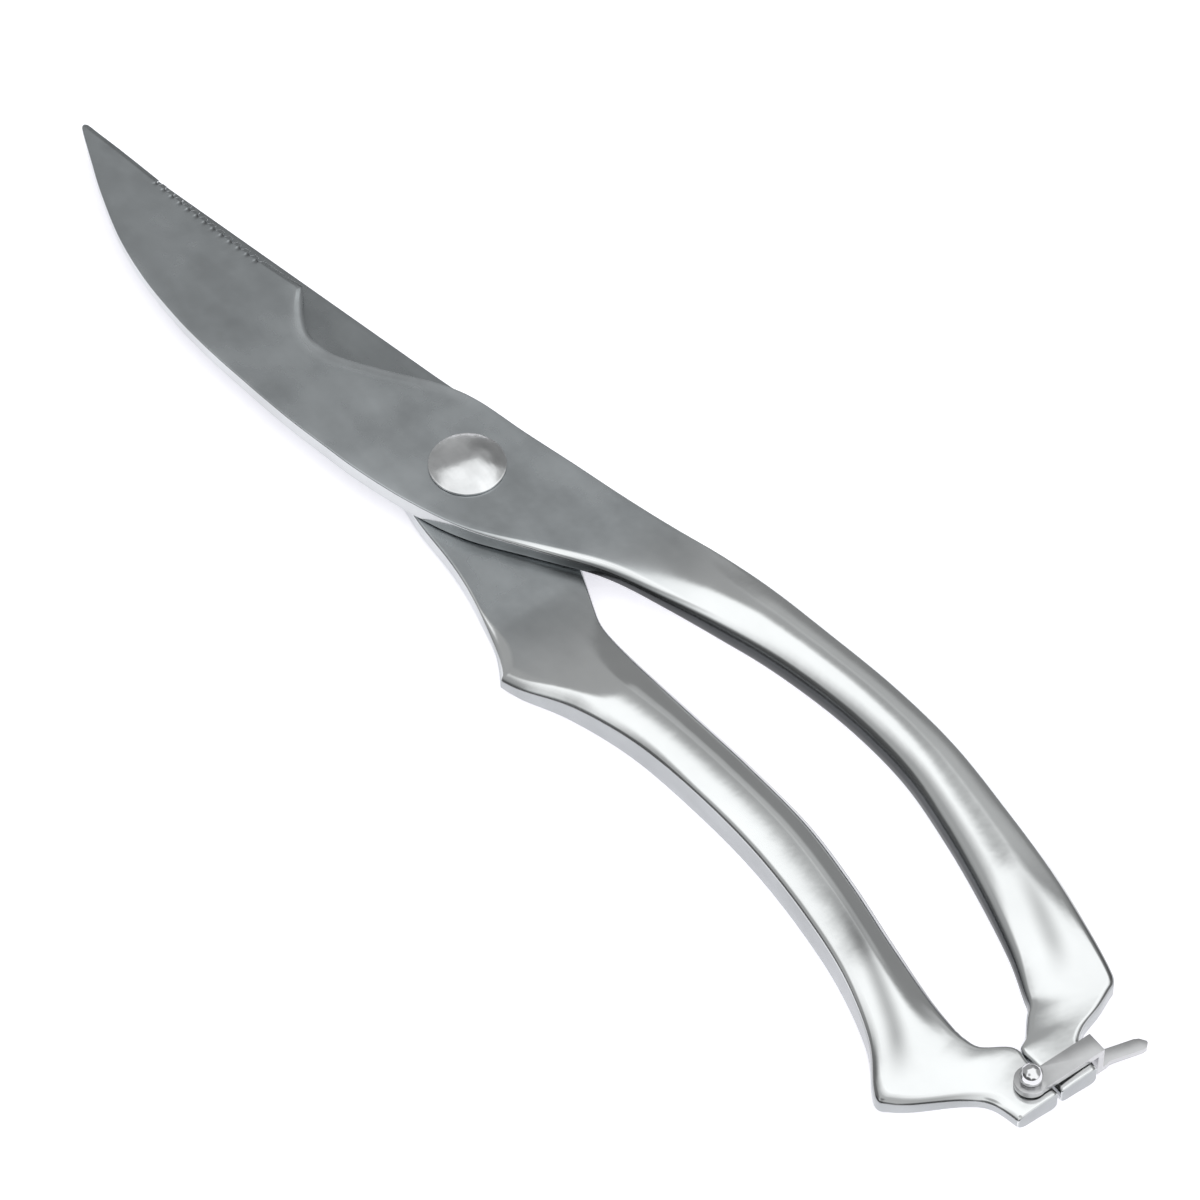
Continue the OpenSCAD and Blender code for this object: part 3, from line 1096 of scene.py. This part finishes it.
@dataclass
class PivotScrew:
    """The domed screw, with a shoulder that the halves turn on and a thread for the nut."""

    head_radius: float = 6.35
    head_height: float = 2.0
    seat: float = 7.25
    shoulder_radius: float = 3.0
    shoulder_end: float = 2.2
    thread_radius: float = 2.0
    end: float = 0.4
    rim: float = 0.35
    soft: float = 0.12
    chamfer: float = 0.3

    def build(self) -> Piece:
        """Spins the head, the shoulder and the thread as one outline.

        Returns:
            The piece.
        """
        rise = self.head_height - self.rim
        sphere = (self.head_radius**2 + rise**2) / (2 * rise)
        top = self.seat + self.head_height
        inner = self.head_radius - self.soft
        outline = arc((0.0, top - sphere), sphere, 90.0, math.degrees(math.acos(inner / sphere)), steps=40)
        outline += arc((inner, outline[-1][1] - self.soft), self.soft, 60.0, 0.0, steps=4)
        outline += arc((inner, self.seat + self.soft), self.soft, 0.0, -90.0, steps=4)
        outline += [
            (self.shoulder_radius, self.seat),
            (self.shoulder_radius, self.shoulder_end),
            (self.thread_radius, self.shoulder_end),
            (self.thread_radius, self.end + self.chamfer),
            (self.thread_radius - self.chamfer, self.end),
            (0.0, self.end),
        ]
        outline[0] = (0.0, top)
        return lathe("pivot_screw_domed", (0.0, 0.0), outline)


@dataclass
class PivotNut:
    """The flat nut that the shears rest on."""

    radius: float = 5.5
    height: float = 2.0
    bore: float = 2.01
    soft: float = 0.2

    def build(self) -> Piece:
        """Insets both ends of a cylinder and bridges them into a bore.

        Returns:
            The piece.
        """
        piece = cylinder("pivot_nut_turned", (0.0, 0.0), 0.0, self.height, self.radius)
        pick_faces(piece, lambda c, n: abs(n.z) > 0.9)
        bpy.ops.mesh.inset(thickness=(self.radius - self.bore) * MM, depth=0)
        bpy.ops.mesh.bridge_edge_loops()
        set_mode("OBJECT")
        apply_modifier(
            piece, "BEVEL", width=self.soft * MM, segments=3, limit_method="ANGLE",
            angle_limit=math.radians(50),
        )
        finish_mesh(piece)
        return piece


# ---- latch


@dataclass
class Latch:
    """The strip that swings on the rivet: eye, arm, fold and thumb tab."""

    rivet: Point = RIVET_AT
    low: float = 6.2
    thick: float = 1.1
    width: float = 3.6
    reach: float = 12.3
    eye_radius: float = 2.6
    bore: float = 1.06
    tab_low: float = 1.5
    tab_width: float = 2.4
    tab_length: float = 8.6
    tab_steps: int = 12
    tab_end: float = 0.98
    tab_turn: float = 15.0
    arm_side: float = 0.7
    soft: float = 0.18

    def build(self) -> Piece:
        """Extrudes the arm round its fold and out along the tab, then joins the eye.

        Returns:
            The piece.
        """
        left = self.rivet[0] - self.arm_side * self.width
        far = self.rivet[1] - self.reach
        middle = (left + self.width / 2, (self.rivet[1] + far + self.thick) / 2, self.low + self.thick / 2)
        start_clean()
        bpy.ops.mesh.primitive_cube_add(size=1, location=[value * MM for value in middle])
        piece = bpy.context.object
        piece.name = "latch_strip"
        piece.scale = (self.width * MM, (self.reach - self.thick) * MM, self.thick * MM)
        settle(piece)
        pick_faces(piece, lambda c, n: n.y < -0.9)
        push(0, -self.thick, 0)
        pick_faces(piece, lambda c, n: n.z < -0.9 and c.y < far + self.thick)
        push(0, 0, self.tab_low + self.thick - self.low)
        push(0, 0, -self.thick)
        pick_faces(piece, lambda c, n: n.y < -0.9 and c.z < self.tab_low + self.thick)
        self.draw_tab()
        set_mode("OBJECT")
        eye = cylinder("latch_eye", self.rivet, self.low, self.low + self.thick, self.eye_radius)
        cut_with(piece, eye, "UNION")
        cut_with(piece, cylinder("eye_bore", self.rivet, 0.0, 10.0, self.bore))
        apply_modifier(
            piece, "BEVEL", width=self.soft * MM, segments=3, limit_method="ANGLE",
            angle_limit=math.radians(40), use_clamp_overlap=True,
        )
        finish_mesh(piece)
        return piece

    def draw_tab(self) -> None:
        """Pulls the tab out of the fold in short steps: a turn, a waist, then a round end."""
        waist_ends, round_starts = 0.22, 0.8
        turn = math.radians(self.tab_turn)
        done = 0.0
        wide = 1.0
        for k in range(1, self.tab_steps + 1):
            t = k / self.tab_steps
            shape = mix(1.0, self.tab_width / self.width, ease(0.0, waist_ends, t))
            if t > round_starts:
                past = (t - round_starts) / (1 - round_starts)
                shape *= math.sqrt(1 - self.tab_end * past**2)
            step = self.tab_length * t - done
            done = self.tab_length * t
            push(-math.sin(turn) * step, -math.cos(turn) * step, 0)
            bpy.ops.transform.resize(value=(shape / wide, 1, 1))
            wide = shape


@dataclass
class LatchRivet:
    """The ball-headed rivet that the latch turns on."""

    at: Point = RIVET_AT
    ball_radius: float = 1.85
    seat: float = 7.35
    ball_up: float = 1.11
    shank: float = 1.0
    tail_top: float = 2.05
    tail_low: float = 1.45
    tail_radius: float = 1.7
    tail_taper: Point = (0.2, 0.05)

    def build(self) -> Piece:
        """Spins the ball, the shank and the headed tail as one outline.

        Returns:
            The piece.
        """
        flat = math.degrees(math.asin(-self.ball_up / self.ball_radius))
        outline = arc((0.0, self.seat + self.ball_up), self.ball_radius, 90.0, flat, steps=32)
        outline[0] = (0.0, self.seat + self.ball_up + self.ball_radius)
        outline += [
            (self.shank, self.seat),
            (self.shank, self.tail_top),
            (self.tail_radius, self.tail_top - self.tail_taper[1]),
            (self.tail_radius - self.tail_taper[0], self.tail_low),
            (0.0, self.tail_low),
        ]
        return lathe("latch_rivet_ball", self.at, outline)


# ---- the whole


class Shears:
    """Builds and dresses every piece, and rides it on its body."""

    def __init__(self, frame: dict) -> None:
        """Makes the finishes once for every piece.
        """
        self.frame = frame
        surface = steel_surface_group()
        self.materials = {finish: finish.value.make(surface) for finish in Finish}

    def dress(self, piece: Piece, finish: Finish) -> None:
        """Gives a piece one finish and no other."""
        piece.data.materials.clear()
        piece.data.materials.append(self.materials[finish])

    def place(self, piece: Piece, node: str, body: Body, finish: Finish) -> None:
        """Dresses a piece, rides it on its body and stands it for its node.

        Args:
            piece: The piece.
            node: The node that it stands for.
            body: The body that it moves with.
            finish: Its finish.
        """
        self.dress(piece, finish)
        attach(piece, body.value)
        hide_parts(node)
        LOG.info("%s stands for %s on %s, %d faces", piece.name, node, body.value, len(piece.data.polygons))

    def build_half(self, half: ForgedHalf) -> None:
        """Builds one half with its bores.

        Args:
            half: The half.
        """
        piece = half.build()
        finish_mesh(piece)
        PivotBores().cut(piece, not half.ground)
        finish_mesh(piece)
        self.place(piece, half.node, half.body, Finish.FORGED)

    def build(self) -> None:
        """Builds every piece in order."""
        self.build_half(ForgedHalf(
            "lower_half", Body.LOWER, LOWER_EDGE, LOWER_BACK, LOWER_EDGE_ROUNDING, LOWER_BACK_ROUNDING,
            # The lower blade's tone is painted shade.
            ground=False, painted_blade_shade=0.68,
        ))
        self.build_half(ForgedHalf(
            "upper_half", Body.UPPER, UPPER_EDGE, UPPER_BACK, UPPER_EDGE_ROUNDING, UPPER_BACK_ROUNDING,
            # The streak tone is a painted reflection, and the corner tone painted shade.
            ground=True, gullets=Gullets(), end_crest=0.1, streak_from=-108.0, streak_starts=0.4,
            streak_ends=0.5, painted_streak_tone=0.62, corner_wide=1.1,
        ))
        self.place(PivotScrew().build(), "pivot_screw", Body.LOWER, Finish.DOME)
        self.place(PivotNut().build(), "pivot_nut", Body.LOWER, Finish.TURNED)
        self.place(Latch().build(), "latch", Body.LATCH, Finish.STAMPED)
        self.place(LatchRivet().build(), "latch_rivet", Body.LOWER, Finish.BALL)
        for node, finish in (("pivot_spring", Finish.WIRE), ("latch_washer", Finish.TURNED)):
            self.dress(self.frame["nodes"][node], finish)
            LOG.info("%s keeps its shape in %s", node, finish.value.name)


# ---- studio


@dataclass(frozen=True)
class Card:
    """A soft round patch of the surroundings, with its angles in degrees."""

    name: str
    heading: float
    elevation: float
    core: float
    reach: float
    level: float

    def direction(self) -> Vector:
        """The direction of its middle."""
        turn, rise = math.radians(self.heading), math.radians(self.elevation)
        return Vector((math.cos(rise) * math.cos(turn), math.cos(rise) * math.sin(turn), math.sin(rise)))


@dataclass
class Studio:
    """Pale floor, soft light all round and the camera."""

    look_at: Triple = (-30.2, -3.9, 0.0)
    camera_at: Triple = (-566.0, 400.0, 871.5)
    lens: float = 207.0
    floor_size: float = 6000.0
    brightness: float = 1.25
    cards: tuple[Card, ...] = (
        Card("far_grey", -18, 22, 35, 43, 0.41),
        Card("side_grey", -65, 20, 24, 34, 0.27),
        Card("left_grey", 42, 18, 24, 44, 0.42),
        Card("right_grey", -112, 16, 22, 42, 0.42),
        Card("front_dark", 158, 0, 16, 30, 0.15),
        Card("left_dark", 68, 0, 24, 38, 0.13),
        Card("near_dark", 112, 0, 24, 38, 0.13),
        Card("lens_shade", 105, 52, 4, 18, 0.5),
    )
    glow: Card = Card("side_glow", -57, 39, 2, 12, 0.24)

    def build(self) -> None:
        """Sets up the floor, the light all round and the camera."""
        self.add_floor()
        self.add_surroundings()
        self.add_camera()
        view = bpy.context.scene.view_settings
        view.view_transform = "Standard"
        view.look = "None"

    def add_floor(self) -> None:
        """A plain white floor just under the shears."""
        start_clean()
        bpy.ops.mesh.primitive_plane_add(size=self.floor_size * MM, location=(0, 0, -0.02 * MM))
        floor = bpy.context.object
        floor.name = "floor"
        material = bpy.data.materials.new("pale_floor")
        material.use_nodes = True
        shader = material.node_tree.nodes["Principled BSDF"]
        for key, value in (
            ("Base Color", (0.93, 0.93, 0.935, 1)), ("Roughness", 1.0), ("Specular IOR Level", 0.0),
            ("Emission Color", (1.0, 0.98, 1.05, 1)), ("Emission Strength", 0.5),
        ):
            shader.inputs[key].default_value = value
        floor.data.materials.append(material)

    def add_surroundings(self) -> None:
        """A white tent, dark low down, with grey and dark cards round it and a faint glow."""
        world = bpy.data.worlds.new("tent")
        world.use_nodes = True
        bpy.context.scene.world = world
        n = Nodes(world.node_tree)
        background = world.node_tree.nodes["Background"]
        place = n.add("ShaderNodeTexCoord").outputs["Generated"]
        height = n.add("ShaderNodeSeparateXYZ")
        n.wire(place, height.inputs[0])
        level = n.step(height.outputs["Z"], 0.0, 0.12, 0.25, self.brightness)
        for card in self.cards:
            shade = self.spot(n, place, card, self.brightness)
            level = n.math("MINIMUM", level, shade)
        level = n.math("ADD", level, self.spot(n, place, self.glow, 0.0))
        n.wire(n.colour("MULTIPLY", 1.0, (0.985, 1.0, 1.005, 1.0), level), background.inputs["Color"])

    @staticmethod
    def spot(n: Nodes, place: Socket, card: Card, outer: float) -> Socket:
        """A card's light level by direction.

        Args:
            n: The world's nodes.
            place: The direction looked in.
            card: The card.
            outer: The level away from the card.

        Returns:
            The level.
        """
        facing = n.add("ShaderNodeVectorMath", operation="DOT_PRODUCT", label=card.name)
        n.wire(place, facing.inputs[0])
        facing.inputs[1].default_value = card.direction()
        inside, outside = (math.cos(math.radians(angle)) for angle in (card.core, card.reach))
        return n.step(facing.outputs["Value"], outside, inside, outer, card.level)

    def add_camera(self) -> None:
        """The camera, level and looking at the middle of the shears."""
        data = bpy.data.cameras.new("camera")
        data.lens = self.lens
        camera = bpy.data.objects.new("camera", data)
        bpy.context.collection.objects.link(camera)
        camera.location = Vector(self.camera_at) * MM
        sight = (Vector(self.look_at) - Vector(self.camera_at)) * MM
        camera.rotation_euler = sight.to_track_quat("-Z", "Y").to_euler()
        bpy.context.scene.camera = camera


def main() -> None:
    """Builds the shears and the studio."""
    logging.basicConfig(level=logging.INFO, format="%(message)s")
    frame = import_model()
    Shears(frame).build()
    Studio().build()


if __name__ == "__main__":
    main()
